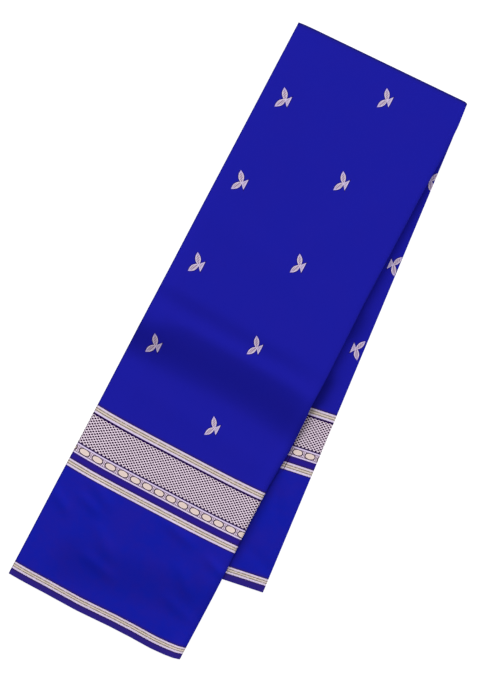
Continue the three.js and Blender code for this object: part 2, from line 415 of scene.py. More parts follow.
@dataclass(frozen=True)
class LeafPattern:
    """The field's motif: two pointed leaves and a forked tail, in a half-drop."""

    first_across: float = 32.3
    first_along: float = 409.0
    column_step: float = 130.75
    row_step: float = 138.5
    leaf_root: tuple = (1.1, -1.6)
    leaf_tip: tuple = (-8.2, 15.9)
    leaf_half_width: float = 3.7
    leaf_fullness: float = 1.15
    run_soft: float = 0.01
    tail_reach: float = 6.9
    tail_half_span: float = 8.2
    tail_bulge: float = 0.2
    outline: tuple = (-0.3, 0.3)
    leaf_heart: tuple = (0.5, 1.3)
    tail_heart: tuple = (0.6, 1.5)
    shadow: tuple = (-1.7, -0.3)
    vein: tuple = (0.8, 0.3)
    vein_run: tuple = (0.12, 0.8, 0.05)
    point: tuple = (0.70, 0.95)
    twill_lean: float = 0.3
    twill_turns: float = 2.4
    heart_twill: tuple = (0.7, 0.3)
    vein_twill: tuple = (0.5, 0.3)
    point_share: float = 0.8
    shadow_share: float = 0.8
    past_leaf: float = 50.0

    def local(self, loom: Loom) -> tuple[Wire, Wire]:
        """Place within the nearest motif, measured from where its leaves join.

        Args:
            loom: What to draw with.

        Returns:
            Offset across, and the size of the offset along.
        """
        column = (loom.across - self.first_across) / self.column_step + 0.5
        drop = (column.floor() * 0.5).fract()
        row = (loom.along - self.first_along) / self.row_step + drop + 0.5
        return (column.fract() - 0.5) * self.column_step, abs((row.fract() - 0.5) * self.row_step)

    def masks(self, loom: Loom) -> dict[str, Wire]:
        """Masks of the motif's parts.

        Args:
            loom: What to draw with.

        Returns:
            Masks named leaf, heart, vein, point, tail, tail_heart and shadow.
        """
        bench = loom.bench
        x, y = self.local(loom)
        root_x, root_y = self.leaf_root
        reach_x, reach_y = self.leaf_tip[0] - root_x, self.leaf_tip[1] - root_y
        length = math.hypot(reach_x, reach_y)
        along_x, along_y = reach_x / length, reach_y / length
        run = ((x - root_x) * along_x + (y - root_y) * along_y) / length
        off = (x - root_x) * along_y - (y - root_y) * along_x
        held = run.greater(0.0).lesser(1.0)
        swell = (held * (1.0 - held) * 4.0) ** self.leaf_fullness
        in_run = bench.between(run, 0.0, 1.0, self.run_soft)
        leaf_edge = swell * self.leaf_half_width - abs(off)
        bulge = (1.0 - (y / self.tail_half_span) ** 2.0) * self.tail_bulge
        fork = x * (self.tail_half_span / self.tail_reach) - y
        tail_edge = fork.lesser(bulge + self.tail_reach - x)
        widest = (leaf_edge - (1.0 - in_run) * self.past_leaf).greater(tail_edge)
        return {
            "leaf": bench.step(leaf_edge, *self.outline) * in_run,
            "heart": bench.step(leaf_edge, *self.leaf_heart),
            "vein": bench.step(abs(off), *self.vein) * bench.between(run, *self.vein_run),
            "point": bench.step(run, *self.point),
            "tail": bench.step(tail_edge, *self.outline),
            "tail_heart": bench.step(tail_edge, *self.tail_heart),
            "shadow": bench.step(widest, *self.shadow),
        }

    def over(self, loom: Loom, ground: Socket, field: Wire) -> tuple[Socket, Wire]:
        """Lay the motifs over the field.

        Args:
            loom: What to draw with.
            ground: The field's own colour.
            field: Mask of the field.

        Returns:
            The colour, and the motifs' mask.
        """
        bench, colours, part = loom.bench, loom.colours, self.masks(loom)
        slant = (loom.across - loom.along * self.twill_lean) * self.twill_turns
        twill = slant.sine() * 0.5 + 0.5
        broad = twill * self.heart_twill[0] + self.heart_twill[1]
        fine = twill * self.vein_twill[0] + self.vein_twill[1]
        shaded = bench.mix(part["shadow"] * field * self.shadow_share, ground, colours.midnight)
        leaf = bench.mix(part["heart"] * broad, colours.silver, colours.taupe)
        leaf = bench.mix(part["vein"] * fine, leaf, colours.mauve)
        leaf = bench.mix(part["point"] * self.point_share, leaf, colours.ice)
        leafed = bench.mix(part["leaf"] * field, shaded, leaf)
        tail = bench.mix(part["tail_heart"] * fine, colours.pearl, colours.taupe)
        whole = bench.mix(part["tail"] * field, leafed, tail)
        return whole, part["leaf"].greater(part["tail"]) * field


@dataclass(frozen=True)
class PaintedCreaseShade:
    """Painted shade of a fine pressed crease that runs nearly along the cloth."""

    across: float = 339.4
    lean: float = 0.071
    along: tuple = (182.0, 216.0)
    along_soft: float = 4.0
    half_width: float = 0.55
    soft: float = 0.3
    depth: float = 0.95

    def mask(self, loom: Loom) -> Wire:
        """How much the crease's painted shade darkens each place.

        Args:
            loom: What to draw with.

        Returns:
            A number from 0 to the crease's depth.
        """
        off = abs(loom.across + loom.along * self.lean - self.across)
        line = loom.bench.step(off, self.half_width + self.soft, self.half_width - self.soft)
        return line * loom.band(self.along, self.along_soft) * self.depth


@dataclass(frozen=True)
class SilkFinish:
    """Plain-woven silk with metallic weft in its bands and motifs."""

    weave: Weave
    crease: "PaintedCreaseShade | None" = None
    colours: SilkColours = SilkColours()
    plan: BandPlan = BandPlan()
    net: NetPattern = NetPattern()
    chain: ChainPattern = ChainPattern()
    leaves: LeafPattern = LeafPattern()
    roughness: float = 0.62
    metal_roughness: float = 0.50
    metal_share: float = 0.04
    metal_dull: float = 0.065
    specular: float = 0.02
    thread: float = 0.55
    slub_waves: float = 0.5
    relief_strength: float = 0.10
    relief_depth: float = 0.25
    cloud_waves: float = 0.022
    streak_waves: float = 0.11
    streak_share: float = 0.3
    uneven: tuple = (0.38, 0.60)
    uneven_along: tuple = (240.0, 170.0)
    uneven_share: tuple = (0.62, 0.12)
    hatch_pitch: float = 2.6
    hatch_middle: tuple = (0.16, 0.84, 0.1)
    hatch_share: tuple = (0.18, 0.10)
    mottle_waves: float = 0.25
    mottle_share: float = 0.3
    glint: tuple = (0.52, 0.70)
    glint_share: float = 0.4
    stripe_light: float = 0.82
    stripe_soft: float = 0.35
    band_soft: float = 0.2
    plain_share: float = 0.9
    rim: float = 0.9
    rim_share: float = 0.75
    dim_start: float = 0.5
    dim_reach: float = 5.0
    dim_reach_below: float = 3.5
    dim_share: float = 0.5

    def material(self) -> Material:
        """Make the material.

        Returns:
            The material.
        """
        bench = ShaderBench("silk_" + self.weave.value + ("_creased" if self.crease else ""))
        patterned = self.weave is Weave.BANDS_AND_LEAVES
        if patterned:
            place = bench.node("ShaderNodeUVMap", {"uv_map": "cloth"}, {}).outputs[0]
        else:
            place = bench.node("ShaderNodeTexCoord", {}, {}).outputs["Object"]
        cloth = bench.scale(place, 1 / MM)
        axes = bench.node("ShaderNodeSeparateXYZ", {}, {0: cloth}).outputs
        loom = Loom(bench, self.colours, self.plan, cloth, Wire(bench, axes[0]), Wire(bench, axes[1]))
        shade, metal = self._ground(loom), None
        if patterned:
            shade, metal = self._pattern(loom, shade)
            # Painted shade: a dark line painted where the back stretch has a fine crease.
            if self.crease:
                shade = bench.mix(self.crease.mask(loom), shade, self.colours.midnight)
            # Painted shade: the tone attribute darkens the colour at the crosswise folds, the outer
            # selvedge and beside the front stretch's right edge.
            lost = bench.node("ShaderNodeAttribute", {"attribute_name": "painted_shade"}, {}).outputs["Fac"]
            kept = 1.0 - Wire(bench, lost)
            shade = bench.scale(shade, kept * (1.0 - metal * self.metal_dull))
        self._surface(loom, shade, metal)
        return bench.material

    def _ground(self, loom: Loom) -> Socket:
        """The dyed silk, a little uneven, most of all below the bands.

        Args:
            loom: What to draw with.

        Returns:
            A colour socket.
        """
        bench = loom.bench
        cloudy = bench.noise(loom.cloth, self.cloud_waves, 3.0) * (1.0 - self.streak_share)
        streaky = bench.noise(loom.cloth, self.streak_waves, 2.0) * self.streak_share
        below_bands = bench.step(loom.along, *self.uneven_along)
        share = below_bands * self.uneven_share[0] + self.uneven_share[1]
        uneven = bench.step(cloudy + streaky, *self.uneven) * share
        return bench.mix(uneven, self.colours.indigo, self.colours.indigo_shade)

    def _pattern(self, loom: Loom, ground: Socket) -> tuple[Socket, Wire]:
        """Everything woven in.

        Args:
            loom: What to draw with.
            ground: The dyed silk's colour.

        Returns:
            The colour, and the mask of metallic thread.
        """
        bench, colours, plan, along = loom.bench, loom.colours, loom.plan, loom.along
        soft, rim = self.stripe_soft, self.rim
        field = bench.step(along, *plan.field_start)
        shade, motif = self.leaves.over(loom, ground, field)
        gap = loom.band(plan.plain_gap, soft)
        shade = bench.mix(gap * self.plain_share, shade, colours.violet)
        under_chain = bench.step(along, plan.plain_gap[1] - self.dim_reach, plan.plain_gap[1])
        shade = bench.mix(under_chain * gap * self.dim_share, shade, colours.umber)
        strip = bench.step(along, plan.end_strip + soft, plan.end_strip - soft)
        shade = bench.mix(strip * self.plain_share, shade, colours.dusk)
        stripes = (plan.end_stripe, plan.low_stripe, plan.top_stripe)
        bands = [loom.band(stripe, soft) for stripe in stripes]
        rims = [loom.band((low - rim, high + rim), soft) for low, high in stripes]
        places = [(along - low) / (high - low) * band for (low, high), band in zip(stripes, bands)]
        dims = [self._dim(loom, low, high) for low, high in stripes]
        stripe = total(bands)
        shade = bench.mix(total(dims) * self.dim_share, shade, colours.umber)
        shade = bench.mix(total(rims).lesser(1.0) * self.rim_share, shade, colours.midnight)
        shade = bench.mix(stripe, shade, self._stripe(loom, total(places)))
        net, chain = loom.band(plan.net, self.band_soft), loom.band(plan.chain, self.band_soft)
        shade = bench.mix(net, shade, self.net.shade(loom))
        shade = bench.mix(chain, shade, self.chain.shade(loom))
        return shade, stripe.greater(net).greater(chain).greater(motif)

    def _dim(self, loom: Loom, low: float, high: float) -> Wire:
        """Mask of the darker silk round a stripe from low to high."""
        above = loom.bench.step(loom.along, high + self.dim_reach, high + self.dim_start)
        return above * loom.bench.step(loom.along, low - self.dim_reach_below, low)

    def _stripe(self, loom: Loom, place: Wire) -> Socket:
        """A stripe of metallic thread with twin gold lines, laid in a fine diagonal.

        Args:
            loom: What to draw with.
            place: Share of the way up the stripe.

        Returns:
            A colour socket.
        """
        bench, c = loom.bench, self.colours
        stops = [
            (0.0, c.blush), (0.19, c.blush), (0.25, c.gold), (0.295, c.gold), (0.33, c.olive),
            (0.375, c.olive), (0.41, c.glow), (0.60, c.glow), (0.635, c.olive), (0.68, c.olive),
            (0.715, c.gold), (0.78, c.gold), (0.84, c.blush), (1.0, c.blush),
        ]
        ramp = bench.node("ShaderNodeValToRGB", {"stops": stops}, {0: place}).outputs[0]
        hatch = ((loom.across - loom.along) * (2.0 * math.pi / self.hatch_pitch)).sine()
        weight = bench.between(place, *self.hatch_middle) * self.hatch_share[0] + self.hatch_share[1]
        flat = bench.node("ShaderNodeCombineXYZ", {}, {0: loom.across, 1: loom.along}).outputs[0]
        mottle = bench.noise(flat, self.mottle_waves, 3.0)
        glint = bench.mix(bench.step(mottle, *self.glint) * self.glint_share, ramp, c.blush)
        return bench.scale(glint, hatch * weight + mottle * self.mottle_share + self.stripe_light)

    def _surface(self, loom: Loom, shade: Socket, metal: "Wire | None") -> None:
        """Set the shader.

        Args:
            loom: What to draw with.
            shade: Base colour.
            metal: Mask of metallic thread, where there is any.
        """
        bench, turn = loom.bench, 2.0 * math.pi / self.thread
        threads = (loom.across * turn).sine() * (loom.along * turn).sine()
        relief = threads * 0.5 + bench.noise(loom.cloth, self.slub_waves, 3.0)
        depth = self.relief_depth * MM
        inputs = {"Strength": self.relief_strength, "Distance": depth, "Height": relief}
        bump = bench.node("ShaderNodeBump", {}, inputs).outputs[0]
        values = {"Base Color": shade, "Normal": bump, "Specular IOR Level": self.specular}
        if metal is None:
            values["Roughness"] = self.roughness
        else:
            values["Roughness"] = self.roughness - metal * (self.roughness - self.metal_roughness)
            values["Metallic"] = metal * self.metal_share
        bench.dress(values)


# ---------------- Where the cloth lies ----------------


@dataclass(frozen=True)
class Crease:
    """One soft ridge of a stretch, or a trough where its lift is below 0."""

    t: float
    s: float
    turn: float
    length: float
    width: float
    lift: float

    def local(self, t: Array, s: Array) -> tuple[Array, Array]:
        """Where each place is beside the crease.

        Args:
            t: Places across.
            s: Places down.

        Returns:
            Distance off the crease's line, and how much of the crease is left that far along it.
        """
        angle = math.radians(self.turn)
        dt, ds = t - self.t, s - self.s
        run = dt * math.cos(angle) + ds * math.sin(angle)
        off = ds * math.cos(angle) - dt * math.sin(angle)
        return off, np.exp(-((2.0 * run / self.length) ** 4))

    def height(self, t: Array, s: Array) -> Array:
        """Millimetres that the crease adds at each place."""
        off, left = self.local(t, s)
        return self.lift * np.exp(-((off / self.width) ** 2)) * left


@dataclass(frozen=True)
class Step(Crease):
    """A soft step down in a stretch, where a few of the hidden plies end."""

    def height(self, t: Array, s: Array) -> Array:
        """Millimetres that the step adds below its line."""
        off, left = self.local(t, s)
        return self.lift * smoothstep(off, -self.width, self.width) * left


@dataclass(frozen=True)
class ClothPath:
    """Points along one side of the cloth on its way across a stretch.

    share is the place across the flat part of a ply and offset what is added to it. height is the
    height in the stretch. rounds is how much of a fold is done, and 0 on a flat ply. plies is the
    number of the ply, or of the one before the fold.
    """

    share: Array
    offset: Array
    height: Array
    rounds: Array
    plies: Array


@dataclass(frozen=True)
class QuarterFold:
    """Cloth folded lengthwise to a quarter: four plies, two nested folds and the middle fold."""

    rise: float = 5.2
    ply: float = 0.6
    fold_reach: float = 7.0
    inner_reach: float = 5.2
    middle_reach: float = 3.0
    selvedge_step: float = 1.5
    fold_steps: int = 9
    ease: float = 0.5

    def path(self, depth: float, outer: int, under: int, inner: int) -> ClothPath:
        """Way of the cloth through the stretch, from the outer selvedge to the inner one.

        A ply is its columns, its height and how far in from the left edge it starts. A fold is the
        edge it stands at, its middle and reach across, and its middle and radius in height, which is
        below 0 where the fold turns downward.

        Args:
            depth: Distance below the cloth's face.
            outer: Columns of the outer ply with a selvedge.
            under: Columns of the ply that the outer fold leads to.
            inner: Columns of each ply between them.

        Returns:
            The path's points.
        """
        pitch = (self.rise - self.ply) / 3.0
        middle = self.rise / 2.0
        low = (pitch + self.ply) / 2.0
        air = (pitch - self.ply) / 2.0
        plies = (
            (outer, self.rise - depth, 0.0),
            (under, depth, self.middle_reach),
            (inner, pitch + self.ply - depth, self.middle_reach),
            (inner, 2.0 * pitch + depth, self.selvedge_step),
        )
        folds = (
            (1.0, 0.0, self.fold_reach - depth, middle, depth - middle),
            (0.0, self.middle_reach, depth - self.middle_reach, low, low - depth),
            (1.0, 0.0, self.inner_reach - self.ply + depth, middle, air + depth),
        )
        part = np.arange(1, self.fold_steps) / self.fold_steps
        angle = (part - 0.5) * math.pi
        runs = []
        for number, (columns, height, inset) in enumerate(plies):
            share = eased(columns, self.ease)[:: -1 if number % 2 else 1]
            runs.append((share, inset * (1.0 - share), height, 0.0, number))
            if number < len(folds):
                edge, centre, reach, level, radius = folds[number]
                bend = (centre + reach * np.cos(angle), level + radius * np.sin(angle))
                runs.append((edge, *bend, part, number))
        return ClothPath(*np.hstack([np.stack(np.broadcast_arrays(*run)) for run in runs]))

    def cloth_across(self, path: ClothPath, flat: Array) -> Array:
        """Place of each point in the cloth's width, in millimetres from the outer selvedge.

        Args:
            path: The path.
            flat: Width of the flat part of a ply at each row, as a column.

        Returns:
            One row of places for each row of the stretch.
        """
        half_round = math.pi * math.sqrt((self.fold_reach ** 2 + (self.rise / 2.0) ** 2) / 2.0)
        small_round = self.fold_reach
        rounds = np.array([0.0, half_round, small_round, small_round])
        starts = np.array([0.0, half_round, half_round + small_round, half_round + 2.0 * small_round])
        number = path.plies.astype(int)
        folding = path.rounds > 0.0
        rightward = (number % 2) == 0
        within = np.where(rightward, path.share, 1.0 - path.share)
        lengths = np.where(folding, number + 1.0, number + within)
        arcs = starts[number] + np.where(folding, path.rounds * rounds[np.minimum(number + 1, 3)], 0.0)
        return flat * lengths + arcs


@dataclass(frozen=True)
class Lie:
    """Sizes of the folded saree that its pieces share."""

    fold: QuarterFold = QuarterFold()
    piece_gap: float = 0.3
    crease_radius: float = 0.15
    panels: int = 8
    panel_rise: float = 1.8
    front_clearance: float = 0.7
    back_turn: float = 0.0889
    back_left: float = 1.5
    back_turns_at: float = 92.0
    back_right: float = 282.0
    back_end_left: float = 829.8
    back_end_right: float = 782.4
    drape_across: float = 40.0
    drape_down: float = 80.0
    drape_start: float = 3.0
    slope: tuple = (
        (0.0, 494.0, 562.0), (20.0, 492.0, 562.0), (70.0, 477.0, 562.0), (150.0, 478.0, 560.0),
        (200.0, 478.0, 562.0), (240.0, 480.0, 566.0), (275.0, 488.0, 571.0), (288.0, 490.0, 572.0),
    )
    quarter: float = 288.0

    def origin(self) -> tuple[float, float]:
        """World place of t = 0 and s = 0, from the frame's back stretch.

        Returns:
            Metres along x and y.
        """
        low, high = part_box("back_stretch")
        right = self.back_right + self.back_turn * self.back_end_right
        return high.x - right * MM, low.y + self.back_end_left * MM

    def back_left_edge(self, s: Array) -> Array:
        """Left edge of the back stretch."""
        return self.back_left + np.maximum(0.0, s - self.back_turns_at) * self.back_turn

    def back_right_edge(self, s: Array) -> Array:
        """Right edge of the back stretch."""
        return self.back_right + s * self.back_turn

    def back_end(self, t: Array) -> Array:
        """Free end of the back stretch.

        Args:
            t: Places across.

        Returns:
            Places down, in millimetres.
        """
        left = self.back_left_edge(self.back_end_left)
        right = self.back_right_edge(self.back_end_right)
        drop = self.back_end_right - self.back_end_left
        return self.back_end_left + drop * (t - left) / (right - left)

    def ground(self, t: Array, s: Array) -> Array:
        """Height of the floor or the back stretch, eased at the back stretch's edges.

        Args:
            t: Places across.
            s: Places down.

        Returns:
            Heights in millimetres.
        """
        start = self.drape_start
        past_left = smoothstep(self.back_left_edge(s) - t, start, start + self.drape_across)
        past_end = smoothstep(s - self.back_end(t), start, start + self.drape_down)
        return (self.fold.rise + self.piece_gap) * (1.0 - past_left) * (1.0 - past_end)

    def held(self, t: Array, s: Array) -> Array:
        """Share of the hidden panels' height that the front stretch lies on.

        Args:
            t: Places across.
            s: Places down.

        Returns:
            Shares, from 1 on the panels to 0 past them.
        """
        start, end = read_table(t, self.slope, 1), read_table(t, self.slope, 2)
        return 1.0 - smoothstep((s - start) / (end - start), 0.0, 1.0)

    def on_panels(self, t: Array, s: Array) -> Array:
        """Height in millimetres that the hidden panels add under the front stretch."""
        return (self.panels * self.panel_rise + self.front_clearance) * self.held(t, s)


# ---------------- Meshes ----------------


def wall_mesh(name: str, face: Array, reverse: Array, uv: Array, painted_shade: Array) -> Piece:
    """Make a closed shell between two grids of points.

    Args:
        name: The piece's name.
        face: Grid of points of the outer side, rows by columns by three, in metres.
        reverse: The same for the inner side.
        uv: Grid of cloth places, rows by columns by two, in metres.
        painted_shade: Grid of painted shade, as shares of light lost.

    Returns:
        The new object.
    """
    rows, columns = face.shape[:2]
    count = rows * columns
    number = np.arange(count).reshape(rows, columns)
    a, b, c, d = number[:-1, :-1], number[1:, :-1], number[1:, 1:], number[:-1, 1:]
    quads = [np.stack([a, b, c, d], -1).reshape(-1, 4), np.stack([d, c, b, a], -1).reshape(-1, 4) + count]
    rim = np.concatenate([number[:, 0], number[-1, 1:], number[-2::-1, -1], number[0, -2:0:-1]])
    after = np.roll(rim, -1)
    quads.append(np.stack([rim + count, after + count, after, rim], -1))
    faces = np.concatenate(quads)
    points = np.concatenate([face.reshape(-1, 3), reverse.reshape(-1, 3)])
    mesh = bpy.data.meshes.new(name)
    mesh.from_pydata(points.tolist(), [], faces.tolist())
    layer = mesh.uv_layers.new(name="cloth")
    places = np.concatenate([uv.reshape(-1, 2), uv.reshape(-1, 2)])
    corners = np.empty(len(mesh.loops), dtype=np.int64)
    mesh.loops.foreach_get("vertex_index", corners)
    layer.data.foreach_set("uv", places[corners].ravel())
    shades = mesh.attributes.new("painted_shade", "FLOAT", "POINT")
    shades.data.foreach_set("value", np.concatenate([painted_shade.ravel(), painted_shade.ravel()]))
    mesh.update()
    piece = bpy.data.objects.new(name, mesh)
    bpy.context.collection.objects.link(piece)
    return piece


def select_only(piece: "Piece | None") -> None:
    """Select one object and make it active, or select nothing.

    Args:
        piece: The object, or None.
    """
    for other in bpy.context.scene.objects:
        other.select_set(False)
    if piece is not None:
        piece.select_set(True)
        bpy.context.view_layer.objects.active = piece


def smooth(piece: Piece, angle: float = 50.0) -> None:
    """Shade a piece smooth, with edges kept sharp from an angle in degrees."""
    select_only(piece)
    bpy.ops.object.shade_smooth_by_angle(angle=math.radians(angle))


def finish_cloth(piece: Piece, silk: Material, node: str) -> Piece:
    """Dress a stretch of cloth, hang it on the root body and hide the CAD node that it stands for.

    Args:
        piece: The stretch.
        silk: Its material.
        node: The CAD node that it stands for.

    Returns:
        The piece.
    """
    piece.data.materials.append(silk)
    smooth(piece)
    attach(piece, "root")
    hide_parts(node)
    return piece


# ---------------- Sub-assemblies ----------------


@dataclass
class Stretch:
    """Cloth folded to a quarter, which turns round the crosswise fold at its top.

    Each kind says with side where one side of its cloth lies, and with tone how much shade is painted on
    its face.
    """

    lie: Lie
    rows: int = 190
    crease_rows: int = 10
    row_ease: float = 0.3
    crease_left: float = 3.1
    crease_right: float = -6.9

    def row_ends(self, end_left: float, end_right: float) -> tuple[Array, Array]:
        """Places down of each row's ends.

        Args:
            end_left: The last row's left end.
            end_right: Its right end.

        Returns:
            Two columns, for the left and the right.
        """
        way = eased(self.rows, self.row_ease)[:, None]
        left = self.crease_left + (end_left - self.crease_left) * way
        return left, self.crease_right + (end_right - self.crease_right) * way

    def crease_angles(self) -> Array:
        """Angles of the rows round the crosswise fold."""
        return np.linspace(-0.5, 0.5, self.crease_rows, endpoint=False) * math.pi

    def with_crease(self, body: Array, places: Array, width: float, axis: Array, radius: Array,
                    arc: Array, side: float) -> tuple[Array, Array]:
        """Carry the stretch on round the crosswise fold, to the hidden panels.

        Args:
            body: Points of the stretch's rows.
            places: Their cloth places.
            width: Width of the stretch at the fold.
            axis: Height of the fold's axis at each point of the first row.
            radius: How far each of these points is from the axis.
            arc: Radius along which the weave is laid out.
            side: 1 where the stretch leaves the fold at its top, or -1 at its foot.

        Returns:
            Points and cloth places, with the fold's rows in front.
        """
        first, angles = body[0], self.crease_angles()[:, None]
        run = np.array([width, self.crease_right - self.crease_left])
        run = run / np.linalg.norm(run)
        t = first[:, 0] + run[1] * radius * np.cos(angles)
        s = first[:, 1] - run[0] * radius * np.cos(angles)
        z = axis + side * radius * np.sin(angles)
        along = places[0, :, 1] + arc * (0.5 * math.pi - angles)
        woven = np.stack([np.broadcast_to(places[0, :, 0], along.shape), along], -1)
        return np.concatenate([np.stack([t, s, z], -1), body]), np.concatenate([woven, places])

    def wall(self, name: str, face_up: bool) -> Piece:
        """Make the stretch's mesh.

        Args:
            name: The piece's name.
            face_up: Whether the cloth's face is the upper side.

        Returns:
            The new object.
        """
        scale, shift = np.array([MM, -MM, MM]), np.array([*self.lie.origin(), 0.0])
        face, places = self.side(0.0)
        sides = [face * scale + shift, self.side(self.lie.fold.ply)[0] * scale + shift]
        return wall_mesh(name, *(sides if face_up else sides[::-1]), places * MM, self.painted_shade(face))


@dataclass
class FrontStretch(Stretch):
    """The stretch on top, which ends in the pallu end at the foot."""

    end_left: float = 934.6
    end_right: float = 934.0
    bow: float = 2.4
    bow_from: tuple = (200.0, 600.0)
    ripple_reach: float = 75.0
    loose_from: float = 339.1
    loose_to: float = 896.7
    loose: float = 3.2
    edge_pinch: float = 1.1
    edge_pinch_reach: float = 9.0
    pinch_most: float = 1.3
    fold_puff: float = 2.6
    fold_puff_reach: float = 12.0
    corner_lift: float = 1.6
    corner_across: float = 26.0
    corner_down: float = 30.0
    # Painted shade on the face: along the selvedge, round the crosswise fold and by the sagging right
    # side.
    selvedge_painted_shade: float = 0.5
    crease_painted_shade: float = 0.82
    crease_painted_shade_reach: float = 4.3
    crease_painted_shade_power: float = 2.4
    crease_painted_shade_under: float = 0.45
    crease_painted_shade_rise: tuple = (3.0, 7.0)
    side_painted_shade: float = 0.15
    side_painted_shade_reach: float = 6.0
    side_painted_shade_from: tuple = (440.0, 540.0)
    side_painted_shade_to: tuple = (590.0, 660.0)
    edge_rows: tuple = (
        (-7.0, -0.3, 281.2), (26.0, -0.3, 284.6), (70.0, -0.4, 285.8), (150.0, -0.3, 283.7),
        (330.0, -0.6, 283.5), (400.0, -0.4, 285.0), (460.0, -0.6, 285.8), (500.0, -0.8, 285.4),
        (522.0, -0.9, 287.0), (565.0, -0.9, 288.0), (590.0, -0.8, 287.8), (612.0, -0.7, 286.4),
        (636.0, -0.6, 285.2), (700.0, -0.6, 285.1), (740.0, -0.8, 286.0), (775.0, -1.0, 287.4),
        (820.0, -1.0, 288.0), (860.0, -0.9, 288.0), (935.0, -1.0, 287.6),
    )
    end_ripple: tuple = (
        (-1.0, 0.3), (20.0, 0.0), (60.0, -0.6), (115.0, 0.2), (135.0, -0.4), (170.0, -1.6),
        (205.0, -1.7), (240.0, -0.5), (262.0, -1.1), (276.0, -2.2), (288.0, -4.6),
    )
    weave_places: tuple = ((-10.0, -9.0), (70.0, 63.0), (105.0, 96.5), (1200.0, 1191.5))
    steps: tuple = (Step(t=118, s=452, turn=2, length=310, width=13, lift=-1.9),)
    creases: tuple = (
        Crease(t=150, s=486, turn=2, length=270, width=10, lift=0.6),
        Crease(t=150, s=604, turn=5, length=280, width=17, lift=0.35),
        Crease(t=66, s=764, turn=28, length=58, width=9, lift=1.0),
        Crease(t=60, s=786, turn=18, length=44, width=7, lift=1.0),
        Crease(t=104, s=826, turn=40, length=60, width=10, lift=1.1),
        Crease(t=112, s=862, turn=12, length=66, width=9, lift=1.0),
        Crease(t=198, s=762, turn=14, length=56, width=8, lift=1.2),
        Crease(t=238, s=822, turn=44, length=52, width=9, lift=0.8),
        Crease(t=18, s=802, turn=30, length=44, width=8, lift=1.1),
        Crease(t=270, s=782, turn=20, length=44, width=7, lift=1.1),
        Crease(t=250, s=864, turn=16, length=62, width=9, lift=0.8),
        Crease(t=70, s=120, turn=64, length=220, width=26, lift=0.35),
        Crease(t=210, s=230, turn=-58, length=260, width=30, lift=0.3),
        Crease(t=100, s=330, turn=12, length=240, width=26, lift=0.3),
        Crease(t=180, s=700, turn=-8, length=200, width=20, lift=0.3),
    )

    def edge(self, s: Array, column: int) -> Array:
        """Left edge (column 1) or right edge (column 2) at each place down."""
        return read_table(s, self.edge_rows, column)

    def relief(self, t: Array, s: Array) -> Array:
        """Height that creases and pinched edges add to the top ply.

        Args:
            t: Places across.
            s: Places down.

        Returns:
            Millimetres.
        """
        lie, held = self.lie, self.lie.held(t, s)
        height = sum(crease.height(t, s) for crease in self.creases)
        height = height + sum(step.height(t, s) for step in self.steps) * held
        from_left = np.maximum(0.0, t)
        from_end = np.maximum(0.0, self.end_left - s)
        from_corner = ((t - lie.quarter) / self.corner_across) ** 2 + (from_end / self.corner_down) ** 2
        height = height + self.corner_lift * np.exp(-from_corner)
        from_fold = np.maximum(0.0, lie.quarter - lie.fold.fold_reach - t)
        puff = np.exp(-((from_fold / self.fold_puff_reach) ** 2)) * (1.0 - held)
        pinch = np.exp(-from_left / self.edge_pinch_reach) + np.exp(-from_end / self.edge_pinch_reach)
        return height + self.fold_puff * puff - self.edge_pinch * np.minimum(pinch, self.pinch_most)

    def side(self, depth: float) -> tuple[Array, Array]:
        """One side of the cloth.

        Args:
            depth: Distance below the cloth's face.

        Returns:
            Points in millimetres (t, s, height), and cloth places in millimetres.
        """
        lie, fold = self.lie, self.lie.fold
        path = fold.path(depth, outer=66, under=32, inner=32)
        left_s, right_s = self.row_ends(self.end_left, self.end_right)
        left, right = self.edge(left_s, 1), self.edge(right_s, 2)
        flat = right - left - fold.fold_reach
        t = left + path.share * flat + path.offset
        across = (t - left) / (right - left)
        straight = left_s + (right_s - left_s) * across
        length = self.end_left - straight
        bow = self.bow * smoothstep(straight, *self.bow_from) * (1.0 - (2.0 * across - 1.0) ** 4)
        waves = read_table(t, self.end_ripple) * np.exp(-((length / self.ripple_reach) ** 2))
        s = straight + bow + waves
        foot_t = np.clip(t, left, left + flat)
        rise = 1.0 + self.relief(foot_t, s) / fold.rise
        base = lie.ground(foot_t, s) + lie.on_panels(foot_t, s)
        body = np.stack([t, s, base + path.height * rise], -1)
        share = np.clip((length - self.loose_from) / (self.loose_to - self.loose_from), 0.0, 1.0)
        woven = read_table(fold.cloth_across(path, flat), self.weave_places)
        places = np.stack([woven, length + self.loose * 4.0 * share * (1.0 - share)], -1)
        return self.with_crease(
            body, places, width=float(self.edge(self.crease_right, 2)), axis=base[0] - lie.crease_radius,
            radius=lie.crease_radius + path.height * rise[0], arc=lie.crease_radius + fold.rise, side=1.0,
        )

    def painted_shade(self, face: Array) -> Array:
        """Painted shade at the crosswise fold, along the outer selvedge and where the right side sags.

        Args:
            face: Grid of the outer side's points in millimetres.

        Returns:
            Shares of light lost, one for each point of the grid.
        """
        t, s = face[..., 0], face[..., 1]
        # Painted shade where the right side slopes down onto the back stretch.
        reach = self.side_painted_shade * np.exp(-(((t - self.lie.quarter) / self.side_painted_shade_reach) ** 2))
        side = reach * smoothstep(s, *self.side_painted_shade_from) * (1.0 - smoothstep(s, *self.side_painted_shade_to))
        # Painted shade round the crosswise fold, strongest on its upper shoulder.
        from_top = (s - s.min(axis=0)) / self.crease_painted_shade_reach
        shoulder = np.exp(-(from_top ** self.crease_painted_shade_power))
        rising = smoothstep(np.arange(len(face)), *self.crease_painted_shade_rise)[:, None]
        under = self.crease_painted_shade_under
        turned = self.crease_painted_shade * shoulder * (under + (1.0 - under) * rising)
        # Painted shade along the outer selvedge.
        columns = np.zeros(face.shape[1])
        columns[0] = self.selvedge_painted_shade
        return np.maximum(np.maximum(turned, columns[None, :]), side)

    def build(self, silk: Material) -> Piece:
        return finish_cloth(
            self.wall("front_cloth", face_up=True), silk, "front_stretch",
        )


